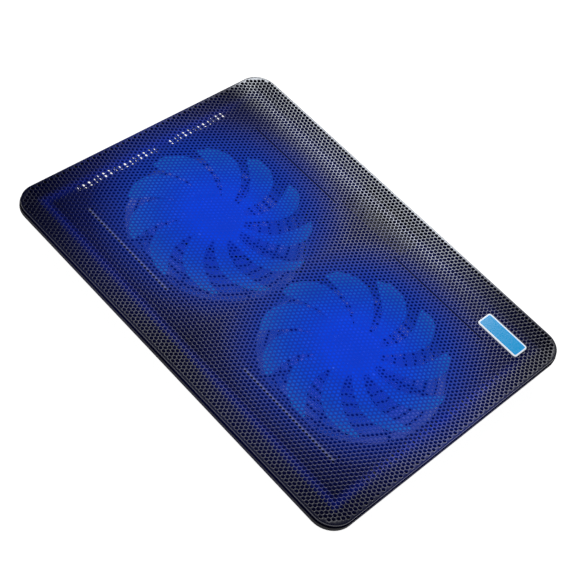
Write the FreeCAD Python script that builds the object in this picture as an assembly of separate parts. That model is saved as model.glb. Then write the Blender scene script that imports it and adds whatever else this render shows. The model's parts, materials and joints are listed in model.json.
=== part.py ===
import FreeCAD, Part
import math
import os
from FreeCAD import Vector

# Laptop cooling pad.  Millimetres.  Origin on the table under the pad's centre:
# +X right, +Y rear (sockets and switch), +Z up.

os.makedirs("parts", exist_ok=True)

# ---------------------------------------------------------------- driving sizes

# Whole pad
PAD_LENGTH = 380.0
PAD_DEPTH = 280.0
PAD_HEIGHT = 28.0
CORNER_RADIUS = 20.0

# Slab of the base tray: thin floor with a low rim wall
SLAB_BOTTOM = 19.4
SLAB_FLOOR = 1.8
RIM_TOP = 24.4
RIM_WALL = 3.0
RIM_CHAMFER = 1.4

# Ledge inside the rim that carries the mesh panel
LEDGE_INSET = 1.7
LEDGE_WALL = 2.0
LEDGE_TOP = 26.95

# Mesh panel: a shallow dish with a turned-down lip
PANEL_INSET = 0.7
PANEL_SHEET = 0.6
LIP_BOTTOM = 26.0
DISH_DEPTH = 2.2
DISH_RIM = 2.0
DISH_BAND_X = 15.5
DISH_BAND_Y = 18.5
DISH_CORNER = 8.0
PANEL_EDGE_ROUND = 0.5

# Fan bay hanging below the slab
FAN_OFFSET = 82.3
FAN_LINE_Y = -3.0
BAY_LENGTH = 332.0
BAY_DEPTH = 168.0
BAY_CORNER = 24.0
BAY_WALL = 1.8
BAY_BOTTOM = 5.0
BAY_FLOOR_TOP = 7.0
BAY_EDGE_ROUND = 2.5

# Intake grille under each fan
SEAT_RADIUS = 28.0
GRILLE_RADIUS = 79.0
GRILLE_RING_COUNT = 5
GRILLE_BAR = 2.0
GRILLE_SPOKES = 8
GRILLE_SPOKE_WIDTH = 2.6

# Rotor
BLADE_COUNT = 11
HUB_RADIUS = 20.0
HUB_WALL = 1.6
HUB_TOP = 22.9
HUB_SKIRT = 11.6
HUB_EDGE_ROUND = 1.5
HUB_BOSS_RADIUS = 4.0
HUB_BOSS_BOTTOM = 19.2
SHAFT_RADIUS = 1.5
SHAFT_BOTTOM = 9.6
SHAFT_TOP = 21.7
BLADE_MID_Z = 16.6
BLADE_CAMBER = 0.09
# radius, mid angle (degrees), plan width, rise across the blade, thickness
BLADE_SECTIONS = [
    (19.2, -41.5, 10.4, 8.6, 1.8),
    (34.0, -40.0, 12.6, 9.0, 1.6),
    (47.0, -36.0, 17.0, 8.8, 1.4),
    (58.0, -30.5, 21.5, 8.2, 1.3),
    (68.0, -24.0, 22.5, 7.0, 1.2),
    (75.4, -18.0, 18.0, 4.8, 1.1),
    (79.2, -13.5, 8.0, 2.0, 1.0),
]

# Motor
YOKE_OUTER = 18.3
YOKE_INNER = 17.0
YOKE_BOTTOM = 12.0
YOKE_TOP = 20.6
MAGNET_OUTER = 16.95
MAGNET_INNER = 14.4
MAGNET_BOTTOM = 12.4
MAGNET_TOP = 19.8
MOTOR_BASE_RADIUS = 26.0
MOTOR_BASE_TOP = 9.0
TUBE_OUTER = 5.0
TUBE_INNER = 3.5
TUBE_TOP = 18.6
BEARING_OUTER = 3.49
BEARING_INNER = 1.53
BEARING_BOTTOM = 9.4
BEARING_TOP = 18.3
STATOR_BOTTOM = 13.0
STATOR_TOP = 17.4
STATOR_CORE = 7.4
STATOR_RADIUS = 13.9
STATOR_TIP = 12.4
POLE_COUNT = 4
POLE_WIDTH = 4.4
POLE_TIP_WIDTH = 13.0
COIL_WALL = 1.9
COIL_START_GAP = 0.5
COIL_TIP_GAP = 1.0
DRIVE_BOARD_RADIUS = 25.0
DRIVE_BOARD_INNER = 5.05
DRIVE_BOARD_TOP = 10.2
LED_COUNT = 4
LED_RING = 22.8
LED_SIZE = 2.8
LED_HEIGHT = 1.2
MOTOR_SCREW_RING = 20.5
MOTOR_SCREW_COUNT = 3

# Ribs under the mesh, in front of and behind the fans
RIB_OFFSET = 91.3
RIB_WIDTH = 1.6
RIB_TOP = 24.95
RIB_RETURN = 7.0
REAR_RIB = (36.0, 139.0)
FRONT_RIB = (46.0, 146.0)

# Vent slots in the slab beside the fans
VENT_X = 170.6
VENT_LENGTH = 7.4
VENT_WIDTH = 2.8
VENT_PITCH = 5.5
VENT_REAR_START = 16.0
VENT_REAR_COUNT = 12
VENT_FRONT_START = -84.0
VENT_FRONT_COUNT = 16

# Housing for the sockets and the switch
HOUSING_HALF = 38.0
HOUSING_FRONT = 96.0
HOUSING_BOTTOM = 8.0
HOUSING_WALL = 1.8
BOARD_BOTTOM = 10.8
BOARD_TOP = 12.4
BOARD_HALF = 33.0
BOARD_FRONT = 100.0
BOARD_REAR = 136.6
SOCKET_X = (-22.0, -3.0)
SOCKET_WIDTH = 13.2
SOCKET_HEIGHT = 5.7
SOCKET_DEPTH = 14.0
SOCKET_SHEET = 0.35
SOCKET_RECESS = 0.8
SOCKET_GAP = 0.2
TONGUE_WIDTH = 11.2
TONGUE_HEIGHT = 1.9
TONGUE_LENGTH = 11.5
CONTACT_COUNT = 4
CONTACT_PITCH = 2.4
SWITCH_X = 20.0
SWITCH_WIDTH = 11.0
SWITCH_DEPTH = 6.0
SWITCH_HEIGHT = 5.4
KNOB_WIDTH = 3.0
KNOB_HEIGHT = 2.4
KNOB_TRAVEL = 2.5
KNOB_POCKET_DEPTH = 1.5
BOARD_SCREW_X = 29.0
BOARD_SCREW_Y = 104.0

# Fold-out legs at the rear
LEG_X = 92.0
LEG_HALF = 31.0
LEG_AXIS_Y = 127.5
LEG_AXIS_Z = 13.2
LEG_BARREL = 3.2
LEG_FREE_Y = 89.0
LEG_BOTTOM = 11.0
LEG_TOP = 15.4
LEG_TIP_LENGTH = 3.0
LEG_HEEL_LENGTH = 6.9
LEG_HEEL_ANGLE = -45.0
LEG_PIN_RADIUS = 1.25
LEG_PIN_BORE = 1.30
LUG_WIDTH = 3.2
LUG_GAP = 0.4
LUG_DEPTH = 10.0

# Rubber feet under the bay corners
FOOT_X = 146.0
FOOT_Y = 66.0
FOOT_RADIUS = 7.5
FOOT_SEAT_DEPTH = 0.6
FOOT_SEAT_GAP = 0.05

# Badge on the mesh, rear right
BADGE_X = 146.4
BADGE_Y = 105.8
BADGE_LENGTH = 43.0
BADGE_WIDTH = 16.5
BADGE_CORNER = 2.6
BADGE_HEIGHT = 0.8
BADGE_BORDER = 1.2
BADGE_PLATE_TOP = 0.6

# Leads
LEAD_RADIUS = 0.9
LEAD_GAP = 0.1
LEAD_BEND = 6.0
LEAD_POST_RADIUS = 1.9
LEAD_POST_Y = 23.0
LEAD_POST_TOP = 10.6
LEAD_CORNER_X = 56.0
LEAD_RISE_X = 32.0
LEAD_LANDING_X = 18.0
LEAD_LANDING_Y = 108.0

# ---------------------------------------------------------------- derived sizes

SLAB_TOP = SLAB_BOTTOM + SLAB_FLOOR
PANEL_LENGTH = PAD_LENGTH - 2 * PANEL_INSET
PANEL_DEPTH = PAD_DEPTH - 2 * PANEL_INSET
PANEL_CORNER = CORNER_RADIUS - PANEL_INSET
DISH_TOP = PAD_HEIGHT - DISH_DEPTH
BAY_HALF_DEPTH = BAY_DEPTH / 2
REAR_FACE = PAD_DEPTH / 2
SOCKET_BOTTOM = BOARD_TOP
SOCKET_MOUTH = REAR_FACE - SOCKET_RECESS
SWITCH_REAR = REAR_FACE - RIM_WALL
SWITCH_MID_Z = BOARD_TOP + SWITCH_HEIGHT / 2
LEAD_FLOOR_Z = BAY_FLOOR_TOP + LEAD_RADIUS + LEAD_GAP
LEAD_SLAB_Z = SLAB_TOP + LEAD_RADIUS + LEAD_GAP


# ---------------------------------------------------------------- shape helpers

def block(x0, x1, y0, y1, z0, z1):
    return Part.makeBox(x1 - x0, y1 - y0, z1 - z0, Vector(x0, y0, z0))


def disc(radius, z0, z1, x=0.0, y=0.0):
    return Part.makeCylinder(radius, z1 - z0, Vector(x, y, z0))


def ring(outer, inner, z0, z1, x=0.0, y=0.0):
    return disc(outer, z0, z1, x, y).cut(disc(inner, z0, z1, x, y))


def rounded_wire(length, depth, radius, z, x=0.0, y=0.0):
    """Rounded rectangle in a level plane, centred on (x, y)."""
    half_x = length / 2 - radius
    half_y = depth / 2 - radius
    corners = [(half_x, half_y, 0), (-half_x, half_y, 90), (-half_x, -half_y, 180), (half_x, -half_y, 270)]
    arcs = []
    for cx, cy, start in corners:
        circle = Part.Circle(Vector(x + cx, y + cy, z), Vector(0, 0, 1), radius)
        arcs.append(Part.Arc(circle, math.radians(start), math.radians(start + 90)).toShape())
    edges = []
    for index, arc in enumerate(arcs):
        following = arcs[(index + 1) % len(arcs)]
        edges.append(arc)
        edges.append(Part.LineSegment(arc.lastVertex().Point, following.firstVertex().Point).toShape())
    return Part.Wire(edges)


def rounded_plate(length, depth, radius, z0, z1, x=0.0, y=0.0):
    face = Part.Face(rounded_wire(length, depth, radius, z0, x, y))
    return face.extrude(Vector(0, 0, z1 - z0))


def rounded_ring(length, depth, radius, wall, z0, z1):
    """Upright wall of even thickness that follows a rounded rectangle."""
    outer = rounded_plate(length, depth, radius, z0, z1)
    inner = rounded_plate(length - 2 * wall, depth - 2 * wall, radius - wall, z0, z1)
    return outer.cut(inner)


def edges_at_height(shape, z, tolerance=0.001):
    return [e for e in shape.Edges if abs(e.BoundBox.ZMin - z) < tolerance and abs(e.BoundBox.ZMax - z) < tolerance]


def turned(shape, angle, x=0.0, y=0.0):
    """Copy of a shape turned about an upright line through (x, y)."""
    copy = shape.copy()
    copy.rotate(Vector(x, y, 0), Vector(0, 0, 1), angle)
    return copy


def moved(shape, x, y, z=0.0):
    copy = shape.copy()
    copy.translate(Vector(x, y, z))
    return copy


def mirrored_x(shape):
    return shape.mirror(Vector(0, 0, 0), Vector(1, 0, 0))


def single_solid(shape):
    clean = shape.removeSplitter()
    if len(clean.Solids) != 1:
        raise ValueError("expected one solid, found %d" % len(clean.Solids))
    return clean.Solids[0]


def save(name, shape):
    shape.exportStep("parts/%s.step" % name)


def round_wire_along(points, radius):
    """Round lead along straight runs joined by tangent arcs."""
    corner_count = len(points) - 2
    edges = []
    run_start = points[0]
    for index in range(1, corner_count + 1):
        before = points[index - 1]
        corner = points[index]
        after = points[index + 1]
        into = (before - corner).normalize()
        out = (after - corner).normalize()
        half_turn = (math.pi - into.getAngle(out)) / 2
        shorter = min((corner - before).Length, (after - corner).Length)
        setback = min(0.45 * shorter, LEAD_BEND)
        arc_radius = setback / math.tan(half_turn)
        arc_start = corner + into * setback
        arc_end = corner + out * setback
        bisector = (into + out).normalize()
        centre_distance = math.hypot(setback, arc_radius)
        arc_middle = corner + bisector * (centre_distance - arc_radius)
        edges.append(Part.LineSegment(run_start, arc_start).toShape())
        edges.append(Part.Arc(arc_start, arc_middle, arc_end).toShape())
        run_start = arc_end
    edges.append(Part.LineSegment(run_start, points[-1]).toShape())
    path = Part.Wire(edges)
    heading = (points[1] - points[0]).normalize()
    section = Part.Wire(Part.makeCircle(radius, points[0], heading))
    lead = path.makePipeShell([section], True, False)
    expected = math.pi * radius ** 2 * path.Length
    if abs(lead.Volume - expected) > 0.02 * expected:
        raise ValueError("lead volume is off: %.1f against %.1f" % (lead.Volume, expected))
    return lead


# ---------------------------------------------------------------- base tray

def slab_with_rim():
    slab = rounded_plate(PAD_LENGTH, PAD_DEPTH, CORNER_RADIUS, SLAB_BOTTOM, RIM_TOP)
    slab = slab.makeChamfer(RIM_CHAMFER, edges_at_height(slab, SLAB_BOTTOM))
    hollow = rounded_plate(
        PAD_LENGTH - 2 * RIM_WALL, PAD_DEPTH - 2 * RIM_WALL, CORNER_RADIUS - RIM_WALL, SLAB_TOP, RIM_TOP)
    slab = slab.cut(hollow)
    ledge = rounded_ring(
        PAD_LENGTH - 2 * LEDGE_INSET, PAD_DEPTH - 2 * LEDGE_INSET, CORNER_RADIUS - LEDGE_INSET,
        LEDGE_WALL, SLAB_TOP, LEDGE_TOP)
    return slab.fuse(ledge)


def fan_bay():
    outer = rounded_plate(BAY_LENGTH, BAY_DEPTH, BAY_CORNER, BAY_BOTTOM, SLAB_BOTTOM, 0, FAN_LINE_Y)
    return outer.makeFillet(BAY_EDGE_ROUND, edges_at_height(outer, BAY_BOTTOM))


def bay_hollow():
    return rounded_plate(
        BAY_LENGTH - 2 * BAY_WALL, BAY_DEPTH - 2 * BAY_WALL, BAY_CORNER - BAY_WALL,
        BAY_FLOOR_TOP, SLAB_TOP, 0, FAN_LINE_Y)


def grille_openings(fan_x):
    """Everything that is cut out of the floor below one fan."""
    cut = ring(GRILLE_RADIUS, SEAT_RADIUS, BAY_BOTTOM, BAY_FLOOR_TOP, fan_x, FAN_LINE_Y)
    gap = (GRILLE_RADIUS - SEAT_RADIUS - GRILLE_RING_COUNT * GRILLE_BAR) / (GRILLE_RING_COUNT + 1)
    for index in range(GRILLE_RING_COUNT):
        inner = SEAT_RADIUS + gap + index * (gap + GRILLE_BAR)
        cut = cut.cut(ring(inner + GRILLE_BAR, inner, BAY_BOTTOM, BAY_FLOOR_TOP, fan_x, FAN_LINE_Y))
    half = GRILLE_SPOKE_WIDTH / 2
    spoke = block(fan_x, fan_x + GRILLE_RADIUS + 1, FAN_LINE_Y - half, FAN_LINE_Y + half, BAY_BOTTOM, BAY_FLOOR_TOP)
    for index in range(GRILLE_SPOKES):
        angle = (index + 0.5) * 360 / GRILLE_SPOKES
        cut = cut.cut(turned(spoke, angle, fan_x, FAN_LINE_Y))
    return cut


def motor_screw_places(fan_x):
    places = []
    for index in range(MOTOR_SCREW_COUNT):
        angle = math.radians(90 + index * 360 / MOTOR_SCREW_COUNT)
        x = fan_x + MOTOR_SCREW_RING * math.cos(angle)
        y = FAN_LINE_Y + MOTOR_SCREW_RING * math.sin(angle)
        places.append((x, y))
    return places


def motor_screw_holes(fan_x):
    holes = []
    for x, y in motor_screw_places(fan_x):
        holes.append(disc(1.15, BAY_BOTTOM, BAY_FLOOR_TOP, x, y))
        holes.append(disc(2.4, BAY_BOTTOM, BAY_BOTTOM + 1.2, x, y))
    return holes


def mesh_rib(inner_x, outer_x, side, right):
    """C-shaped rib standing on the slab; its ends turn towards the fans."""
    outer_y = FAN_LINE_Y + side * (RIB_OFFSET + RIB_WIDTH / 2)
    end_y = FAN_LINE_Y + side * (RIB_OFFSET - RIB_RETURN)
    low_y, high_y = sorted((outer_y, end_y))
    rib = block(inner_x, outer_x, low_y, high_y, SLAB_BOTTOM, RIB_TOP)
    pocket_low, pocket_high = sorted((outer_y - side * RIB_WIDTH, end_y))
    pocket = block(inner_x + RIB_WIDTH, outer_x - RIB_WIDTH, pocket_low, pocket_high, SLAB_BOTTOM, RIB_TOP)
    rib = rib.cut(pocket)
    return rib if right else mirrored_x(rib)


def vent_slots():
    slots = []
    rows = [(VENT_REAR_START, VENT_REAR_COUNT), (VENT_FRONT_START, VENT_FRONT_COUNT)]
    for start, count in rows:
        for index in range(count):
            y = start + index * VENT_PITCH
            for side in (-1, 1):
                slots.append(rounded_plate(
                    VENT_LENGTH, VENT_WIDTH, 0.49 * VENT_WIDTH, SLAB_BOTTOM, SLAB_TOP, side * VENT_X, y))
    return slots


def housing():
    return block(-HOUSING_HALF, HOUSING_HALF, HOUSING_FRONT, REAR_FACE, HOUSING_BOTTOM, SLAB_BOTTOM)


def housing_hollow():
    half = HOUSING_HALF - HOUSING_WALL
    return block(
        -half, half, HOUSING_FRONT + HOUSING_WALL, REAR_FACE - RIM_WALL, HOUSING_BOTTOM + HOUSING_WALL, SLAB_TOP)


def housing_openings():
    openings = []
    for x in SOCKET_X:
        half = SOCKET_WIDTH / 2 + SOCKET_GAP
        openings.append(block(
            x - half, x + half, SWITCH_REAR, REAR_FACE,
            SOCKET_BOTTOM - SOCKET_GAP, SOCKET_BOTTOM + SOCKET_HEIGHT + SOCKET_GAP))
    slot_half = (KNOB_WIDTH + KNOB_TRAVEL) / 2 + SOCKET_GAP
    slot_rise = KNOB_HEIGHT / 2 + SOCKET_GAP
    openings.append(block(
        SWITCH_X - slot_half, SWITCH_X + slot_half, SWITCH_REAR, REAR_FACE,
        SWITCH_MID_Z - slot_rise, SWITCH_MID_Z + slot_rise))
    openings.append(block(
        SWITCH_X - 2 * slot_half, SWITCH_X + 2 * slot_half, REAR_FACE - KNOB_POCKET_DEPTH, REAR_FACE,
        SWITCH_MID_Z - 2 * slot_rise, SWITCH_MID_Z + 2 * slot_rise))
    return openings


def board_standoffs():
    posts = []
    for side in (-1, 1):
        post = disc(2.6, HOUSING_BOTTOM + HOUSING_WALL, BOARD_BOTTOM, side * BOARD_SCREW_X, BOARD_SCREW_Y)
        posts.append(post)
    return posts


def board_screw_pilots():
    return [disc(0.9, HOUSING_BOTTOM + 0.6, BOARD_BOTTOM, side * BOARD_SCREW_X, BOARD_SCREW_Y) for side in (-1, 1)]


def leg_lugs(side):
    """Two ears that hold one leg's hinge pin, and two stops for the folded leg."""
    pieces = []
    centre = side * LEG_X
    for end in (-1, 1):
        near = LEG_HALF + LUG_GAP
        x0 = centre + (near if end > 0 else -near - LUG_WIDTH)
        x1 = x0 + LUG_WIDTH
        ear = block(x0, x1, LEG_AXIS_Y - LUG_DEPTH / 2, LEG_AXIS_Y + LUG_DEPTH / 2, LEG_AXIS_Z, SLAB_BOTTOM)
        rounding = Part.makeCylinder(
            LUG_DEPTH / 2 - 1.0, LUG_WIDTH, Vector(x0, LEG_AXIS_Y, LEG_AXIS_Z), Vector(1, 0, 0))
        pin_hole = Part.makeCylinder(LEG_PIN_RADIUS, LUG_WIDTH, Vector(x0, LEG_AXIS_Y, LEG_AXIS_Z), Vector(1, 0, 0))
        pieces.append(ear.fuse(rounding).cut(pin_hole))
        stop_x = centre + end * 20.0
        pieces.append(block(stop_x - 2.0, stop_x + 2.0, LEG_FREE_Y + 4.0, LEG_FREE_Y + 8.0, LEG_TOP, SLAB_BOTTOM))
    return pieces


def foot_places():
    return {
        "front_left": (-FOOT_X, FAN_LINE_Y - FOOT_Y),
        "front_right": (FOOT_X, FAN_LINE_Y - FOOT_Y),
        "rear_left": (-FOOT_X, FAN_LINE_Y + FOOT_Y),
        "rear_right": (FOOT_X, FAN_LINE_Y + FOOT_Y),
    }


def make_base_tray():
    added = [fan_bay(), housing()]
    for side, (inner_x, outer_x) in ((1, REAR_RIB), (-1, FRONT_RIB)):
        added.append(mesh_rib(inner_x, outer_x, side, True))
        added.append(mesh_rib(inner_x, outer_x, side, False))
    tray = slab_with_rim().multiFuse(added)
    tray = tray.cut([bay_hollow(), housing_hollow()])
    posts = board_standoffs() + leg_lugs(-1) + leg_lugs(1)
    posts.append(disc(LEAD_POST_RADIUS, BAY_FLOOR_TOP, LEAD_POST_TOP, 0, LEAD_POST_Y))
    tray = tray.multiFuse(posts)
    cuts = vent_slots() + housing_openings() + board_screw_pilots()
    for fan_x in (-FAN_OFFSET, FAN_OFFSET):
        cuts.append(grille_openings(fan_x))
        cuts.extend(motor_screw_holes(fan_x))
    for x, y in foot_places().values():
        cuts.append(disc(FOOT_RADIUS + FOOT_SEAT_GAP, BAY_BOTTOM, BAY_BOTTOM + FOOT_SEAT_DEPTH, x, y))
    return single_solid(tray.cut(cuts))


# ---------------------------------------------------------------- mesh panel and badge

def dish_hollow(drop):
    """Space above the dished face; `drop` lowers it to give the underside."""
    rim_length = PANEL_LENGTH - 2 * DISH_RIM
    rim_depth = PANEL_DEPTH - 2 * DISH_RIM
    top = rounded_wire(rim_length, rim_depth, PANEL_CORNER - DISH_RIM, PAD_HEIGHT - drop)
    bottom = rounded_wire(
        rim_length - 2 * DISH_BAND_X, rim_depth - 2 * DISH_BAND_Y, DISH_CORNER, DISH_TOP - drop)
    return Part.makeLoft([bottom, top], True, True)


def make_mesh_panel():
    floor = DISH_TOP - PANEL_SHEET
    body = rounded_plate(PANEL_LENGTH, PANEL_DEPTH, PANEL_CORNER, floor, PAD_HEIGHT)
    body = body.makeFillet(PANEL_EDGE_ROUND, edges_at_height(body, PAD_HEIGHT))
    body = body.cut(dish_hollow(0.0))
    inside = rounded_plate(
        PANEL_LENGTH - 2 * PANEL_SHEET, PANEL_DEPTH - 2 * PANEL_SHEET, PANEL_CORNER - PANEL_SHEET,
        floor, PAD_HEIGHT - PANEL_SHEET)
    body = body.cut(inside.cut(dish_hollow(PANEL_SHEET)))
    lip_trim = rounded_ring(PANEL_LENGTH + 2, PANEL_DEPTH + 2, PANEL_CORNER + 1, PANEL_SHEET + 1, floor, LIP_BOTTOM)
    return single_solid(body.cut(lip_trim))


def make_badge_bezel():
    frame = rounded_plate(
        BADGE_LENGTH, BADGE_WIDTH, BADGE_CORNER, DISH_TOP, DISH_TOP + BADGE_HEIGHT, BADGE_X, BADGE_Y)
    frame = frame.makeFillet(0.4, edges_at_height(frame, DISH_TOP + BADGE_HEIGHT))
    window = rounded_plate(
        BADGE_LENGTH - 2 * BADGE_BORDER, BADGE_WIDTH - 2 * BADGE_BORDER, BADGE_CORNER - BADGE_BORDER,
        DISH_TOP, DISH_TOP + BADGE_HEIGHT, BADGE_X, BADGE_Y)
    return single_solid(frame.cut(window))


def make_badge_plate():
    gap = 0.05
    inset = BADGE_BORDER + gap
    plate = rounded_plate(
        BADGE_LENGTH - 2 * inset, BADGE_WIDTH - 2 * inset, BADGE_CORNER - inset,
        DISH_TOP, DISH_TOP + BADGE_PLATE_TOP, BADGE_X, BADGE_Y)
    return single_solid(plate.makeFillet(0.3, edges_at_height(plate, DISH_TOP + BADGE_PLATE_TOP)))


# ---------------------------------------------------------------- fan, centred on its own shaft

def blade_section(radius, mid_angle, width, rise, thickness):
    """Closed, slightly cambered outline across a blade at one radius."""
    turn = math.radians(mid_angle)
    outward = Vector(math.cos(turn), math.sin(turn), 0)
    along = Vector(-math.sin(turn), math.cos(turn), 0)
    centre = outward * radius + Vector(0, 0, BLADE_MID_Z)
    low = along * (width / 2) - Vector(0, 0, rise / 2)
    chord = (low * 2).normalize()
    normal = chord.cross(outward).normalize()
    if normal.z < 0:
        normal = normal * -1
    lift = normal * (BLADE_CAMBER * width)
    half = normal * (thickness / 2)
    under = [centre + low - half, centre - lift - half, centre - low - half]
    over = [centre - low + half, centre - lift + half, centre + low + half]
    return Part.Wire([
        Part.Arc(*under).toShape(),
        Part.LineSegment(under[2], over[0]).toShape(),
        Part.Arc(*over).toShape(),
        Part.LineSegment(over[2], under[0]).toShape(),
    ])


def make_blade():
    return Part.makeLoft([blade_section(*row) for row in BLADE_SECTIONS], True, False)


def make_hub():
    cup = disc(HUB_RADIUS, HUB_SKIRT, HUB_TOP)
    cup = cup.makeFillet(HUB_EDGE_ROUND, edges_at_height(cup, HUB_TOP))
    cup = cup.cut(disc(HUB_RADIUS - HUB_WALL, HUB_SKIRT, HUB_TOP - HUB_WALL))
    cup = cup.fuse(disc(HUB_BOSS_RADIUS, HUB_BOSS_BOTTOM, HUB_TOP - HUB_WALL))
    return cup.cut(disc(SHAFT_RADIUS, HUB_BOSS_BOTTOM, SHAFT_TOP))


def make_rotor():
    blade = make_blade()
    blades = [turned(blade, index * 360 / BLADE_COUNT) for index in range(BLADE_COUNT)]
    return single_solid(make_hub().multiFuse(blades))


def make_motor_base(lead_angle):
    base = disc(MOTOR_BASE_RADIUS, BAY_FLOOR_TOP, MOTOR_BASE_TOP)
    base = base.fuse(disc(TUBE_OUTER, BAY_FLOOR_TOP, TUBE_TOP))
    base = base.cut(disc(TUBE_INNER, BEARING_BOTTOM, TUBE_TOP))
    for x, y in motor_screw_places(0.0):
        base = base.cut(disc(0.98, BAY_FLOOR_TOP, MOTOR_BASE_TOP, x, y - FAN_LINE_Y))
    notch = block(LEAD_START - 0.1, MOTOR_BASE_RADIUS + 1, -1.3, 1.3, BAY_FLOOR_TOP, MOTOR_BASE_TOP)
    return single_solid(base.cut(turned(notch, lead_angle)))


def make_stator():
    core = ring(STATOR_CORE, TUBE_OUTER + 0.02, STATOR_BOTTOM, STATOR_TOP)
    tips = ring(STATOR_RADIUS, STATOR_TIP, STATOR_BOTTOM, STATOR_TOP)
    for index in range(POLE_COUNT):
        angle = index * 360 / POLE_COUNT + 45
        neck = block(STATOR_CORE - 1, STATOR_RADIUS - 0.4, -POLE_WIDTH / 2, POLE_WIDTH / 2, STATOR_BOTTOM, STATOR_TOP)
        reach = block(STATOR_TIP - 4, STATOR_RADIUS, -POLE_TIP_WIDTH / 2, POLE_TIP_WIDTH / 2, STATOR_BOTTOM, STATOR_TOP)
        core = core.fuse(turned(neck, angle))
        core = core.fuse(turned(tips.common(reach), angle))
    return single_solid(core)


def make_coils():
    coils = []
    slack = 0.03
    for index in range(POLE_COUNT):
        half = POLE_WIDTH / 2 + COIL_WALL
        winding = block(STATOR_CORE + COIL_START_GAP, STATOR_TIP - COIL_TIP_GAP, -half, half,
                        STATOR_BOTTOM - COIL_WALL, STATOR_TOP + COIL_WALL)
        winding = winding.makeFillet(1.2, [e for e in winding.Edges if e.BoundBox.XLength > 1])
        neck_half = POLE_WIDTH / 2 + slack
        neck = block(STATOR_CORE, STATOR_TIP, -neck_half, neck_half, STATOR_BOTTOM - slack, STATOR_TOP + slack)
        coils.append(turned(winding.cut(neck), index * 360 / POLE_COUNT + 45))
    return Part.makeCompound(coils)


def make_drive_board():
    return single_solid(ring(DRIVE_BOARD_RADIUS, DRIVE_BOARD_INNER, MOTOR_BASE_TOP, DRIVE_BOARD_TOP))


def make_leds():
    lamps = []
    half = LED_SIZE / 2
    for index in range(LED_COUNT):
        lamp = block(LED_RING - half, LED_RING + half - 0.3, -half, half,
                     DRIVE_BOARD_TOP, DRIVE_BOARD_TOP + LED_HEIGHT)
        lamp = lamp.makeFillet(0.3, edges_at_height(lamp, DRIVE_BOARD_TOP + LED_HEIGHT))
        lamps.append(turned(lamp, index * 360 / LED_COUNT))
    return Part.makeCompound(lamps)


def save_fan(name, fan_x, lead_angle):
    pieces = {
        "rotor": make_rotor(),
        "yoke": ring(YOKE_OUTER, YOKE_INNER, YOKE_BOTTOM, YOKE_TOP),
        "magnet": ring(MAGNET_OUTER, MAGNET_INNER, MAGNET_BOTTOM, MAGNET_TOP),
        "shaft": disc(SHAFT_RADIUS, SHAFT_BOTTOM, SHAFT_TOP),
        "motor_base": make_motor_base(lead_angle),
        "bearing": ring(BEARING_OUTER, BEARING_INNER, BEARING_BOTTOM, BEARING_TOP),
        "stator": make_stator(),
        "coils": make_coils(),
        "board": make_drive_board(),
        "leds": make_leds(),
    }
    for piece, shape in pieces.items():
        save("fan_%s_%s" % (name, piece), moved(shape, fan_x, FAN_LINE_Y))


# ---------------------------------------------------------------- screws, feet, legs

def pan_head_screw(head_radius, head_height, shank_radius, shank_length):
    """Head up, seated on z = 0, shank pointing down."""
    head = disc(head_radius, 0, head_height)
    head = head.makeFillet(0.3 * head_height, edges_at_height(head, head_height))
    cross = block(-0.6 * head_radius, 0.6 * head_radius, -0.25, 0.25, 0.4 * head_height, head_height)
    head = head.cut([cross, turned(cross, 90)])
    return head.fuse(disc(shank_radius, -shank_length, 0)).removeSplitter()


def make_motor_screws():
    screw = pan_head_screw(2.2, 1.0, 0.95, 2.4)
    screw.rotate(Vector(0, 0, 0), Vector(1, 0, 0), 180)
    seat = BAY_BOTTOM + 1.2
    screws = []
    for fan_x in (-FAN_OFFSET, FAN_OFFSET):
        for x, y in motor_screw_places(fan_x):
            screws.append(moved(screw, x, y, seat))
    return Part.makeCompound(screws)


def make_board_screws():
    screw = pan_head_screw(1.9, 1.1, 0.88, 3.2)
    return Part.makeCompound([moved(screw, side * BOARD_SCREW_X, BOARD_SCREW_Y, BOARD_TOP) for side in (-1, 1)])


def make_foot(x, y):
    foot = disc(FOOT_RADIUS, 0, BAY_BOTTOM + FOOT_SEAT_DEPTH, x, y)
    return single_solid(foot.makeFillet(0.8, edges_at_height(foot, 0)))


def make_leg(side):
    centre = side * LEG_X
    plate = block(centre - LEG_HALF, centre + LEG_HALF, LEG_FREE_Y, LEG_AXIS_Y, LEG_BOTTOM, LEG_TOP)
    upright = [e for e in plate.Edges if e.BoundBox.ZLength > 1 and e.BoundBox.YMax < LEG_FREE_Y + 1]
    plate = plate.makeFillet(4.0, upright)
    barrel = Part.makeCylinder(
        LEG_BARREL, 2 * LEG_HALF, Vector(centre - LEG_HALF, LEG_AXIS_Y, LEG_AXIS_Z), Vector(1, 0, 0))
    heel = block(centre - 12, centre + 12, LEG_AXIS_Y, LEG_AXIS_Y + LEG_HEEL_LENGTH, LEG_AXIS_Z - 1.2, LEG_AXIS_Z + 1.2)
    heel.rotate(Vector(0, LEG_AXIS_Y, LEG_AXIS_Z), Vector(1, 0, 0), LEG_HEEL_ANGLE)
    bore = Part.makeCylinder(
        LEG_PIN_BORE, 2 * LEG_HALF, Vector(centre - LEG_HALF, LEG_AXIS_Y, LEG_AXIS_Z), Vector(1, 0, 0))
    window = rounded_plate(40.0, 17.0, 5.0, LEG_BOTTOM - 1, LEG_TOP + 1, centre, (LEG_FREE_Y + LEG_AXIS_Y) / 2 - 1)
    return single_solid(plate.multiFuse([barrel, heel]).cut([bore, window]))


def make_leg_tip(side):
    centre = side * LEG_X
    strip = block(
        centre - LEG_HALF + 5, centre + LEG_HALF - 5, LEG_FREE_Y - LEG_TIP_LENGTH, LEG_FREE_Y, LEG_BOTTOM, LEG_TOP)
    ends = [e for e in strip.Edges if e.BoundBox.XLength > 1 and e.BoundBox.YMax < LEG_FREE_Y - 1]
    return single_solid(strip.makeFillet(1.5, ends))


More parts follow.
